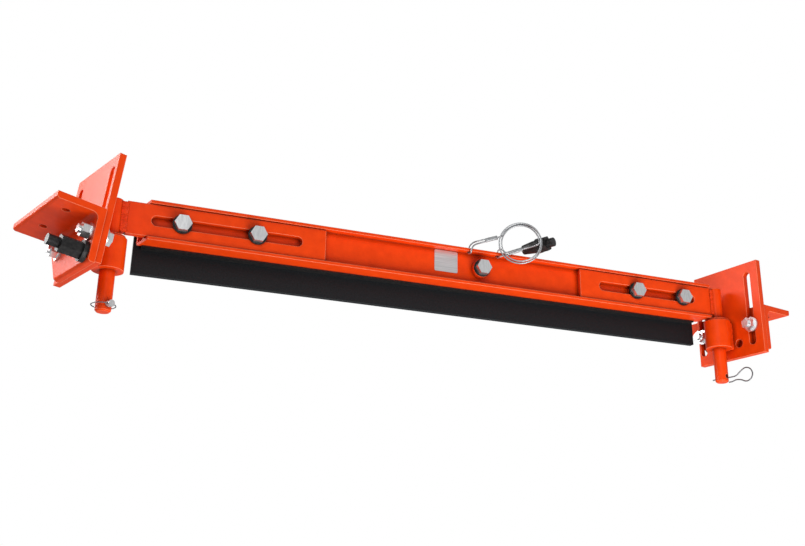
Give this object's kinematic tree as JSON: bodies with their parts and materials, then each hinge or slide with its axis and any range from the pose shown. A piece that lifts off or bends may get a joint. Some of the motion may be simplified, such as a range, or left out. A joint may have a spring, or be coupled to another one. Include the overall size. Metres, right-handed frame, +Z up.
{
  "type": "belt plow",
  "caption": "Diagonal belt plow: slotted arms telescope out of a beam with a wiping blade, and end pins turn and float in bracket sleeves with height adjustment.",
  "frame": {"origin": "middle of the blade's wiping edge", "axes": "+X along the beam, +Y from the slotted arms towards the blade, +Z up"},
  "size_m": [1.6485, 0.2664, 0.2949],
  "materials": {
    "orange_paint": "satin",
    "zinc_plate": "bright",
    "black_oxide": "satin",
    "wire_rope": "satin",
    "black_rubber": "matte"
  },
  "bodies": {
    "beam": {"beam_channel": "orange_paint", "beam_face_plate": "orange_paint", "bolt_spacers": "zinc_plate", "blade_retainer": "black_oxide", "blade_clamp_bar": "zinc_plate", "clamp_bolts": "zinc_plate", "clamp_front_washers": "black_oxide", "clamp_back_washers": "zinc_plate", "clamp_nuts": "zinc_plate", "centre_spacer": "orange_paint", "cable_left_eye": "wire_rope", "cable_lead": "wire_rope", "cable_tail": "wire_rope", "cable_right_eye": "wire_rope", "cable_coil": "wire_rope", "cable_left_ferrule": "zinc_plate", "cable_right_ferrule": "zinc_plate", "cable_fitting_body": "black_oxide", "cable_fitting_collar": "black_oxide", "cable_fitting_nut": "black_oxide", "cable_fitting_stud": "black_oxide"},
    "blade": {"blade": "black_rubber"},
    "left_arm": {"left_arm": "orange_paint", "left_pin": "orange_paint", "left_arm_weld": "orange_paint", "lock_pin": "zinc_plate"},
    "right_arm": {"right_arm": "orange_paint", "right_pin": "orange_paint", "right_arm_weld": "orange_paint", "spring_clip": "zinc_plate"},
    "left_washer": {"left_washer": "orange_paint"},
    "right_washer": {"right_washer": "orange_paint"},
    "left_bracket": {"left_sleeve": "orange_paint", "left_plate": "orange_paint", "left_sleeve_weld": "orange_paint"},
    "right_bracket": {"right_sleeve": "orange_paint", "right_plate": "orange_paint", "right_sleeve_weld": "orange_paint"},
    "left_angle": {"left_angle": "orange_paint", "left_bracket_bolts": "zinc_plate", "left_bracket_inner_washers": "zinc_plate", "left_bracket_outer_washers": "zinc_plate", "left_bracket_nuts": "zinc_plate", "black_stud": "black_oxide", "stud_washer": "black_oxide", "stud_coupling": "black_oxide"},
    "right_angle": {"right_angle": "orange_paint", "right_bracket_bolts": "zinc_plate", "right_bracket_inner_washers": "zinc_plate", "right_bracket_outer_washers": "zinc_plate", "right_bracket_nuts": "zinc_plate"},
    "lock_wire": {"lock_wire": "zinc_plate"}
  },
  "joints": [
    {"name": "left_height", "type": "slide", "parent": "left_angle", "child": "left_bracket", "axis": [-0.107, -0.0369, -0.9936], "range_m": [-0.018, 0.105]},
    {"name": "left_pivot", "type": "hinge", "parent": "left_bracket", "child": "left_washer", "pos_m": [-0.6868, -0.0511, 0.0453], "axis": [0, 0, 1], "range_deg": [-25, 20]},
    {"name": "left_float", "type": "slide", "parent": "left_washer", "child": "left_arm", "axis": [0, 0, 1], "range_m": [0, 0.056]},
    {"name": "left_arm_slide", "type": "slide", "parent": "left_arm", "child": "beam", "axis": [1, 0, 0], "range_m": [-0.025, 0.076]},
    {"name": "blade_adjust", "type": "slide", "parent": "beam", "child": "blade", "axis": [0, 0, -1], "range_m": [-0.0125, 0.0125]},
    {"name": "right_arm_slide", "type": "slide", "parent": "beam", "child": "right_arm", "axis": [1, 0, 0], "range_m": [-0.005, 0.08]},
    {"name": "right_float", "type": "slide", "parent": "right_arm", "child": "right_washer", "axis": [0, 0, -1], "range_m": [0, 0.056]},
    {"name": "right_pivot", "type": "hinge", "parent": "right_washer", "child": "right_bracket", "pos_m": [0.6433, -0.0511, 0.0453], "axis": [0, 0, 1], "range_deg": [-25, 15]},
    {"name": "right_height", "type": "slide", "parent": "right_bracket", "child": "right_angle", "axis": [0, 0, 1], "range_m": [-0.03, 0.095]},
    {"name": "lock_wire_swing", "type": "hinge", "parent": "left_arm", "child": "lock_wire", "pos_m": [-0.67655, -0.06885, -0.0814], "axis": [-0.866, -0.5, 0], "range_deg": [0, 100]}
  ],
  "couplings": [
    {"joint": "right_float", "follows": "left_float", "ratio": 1}
  ]
}
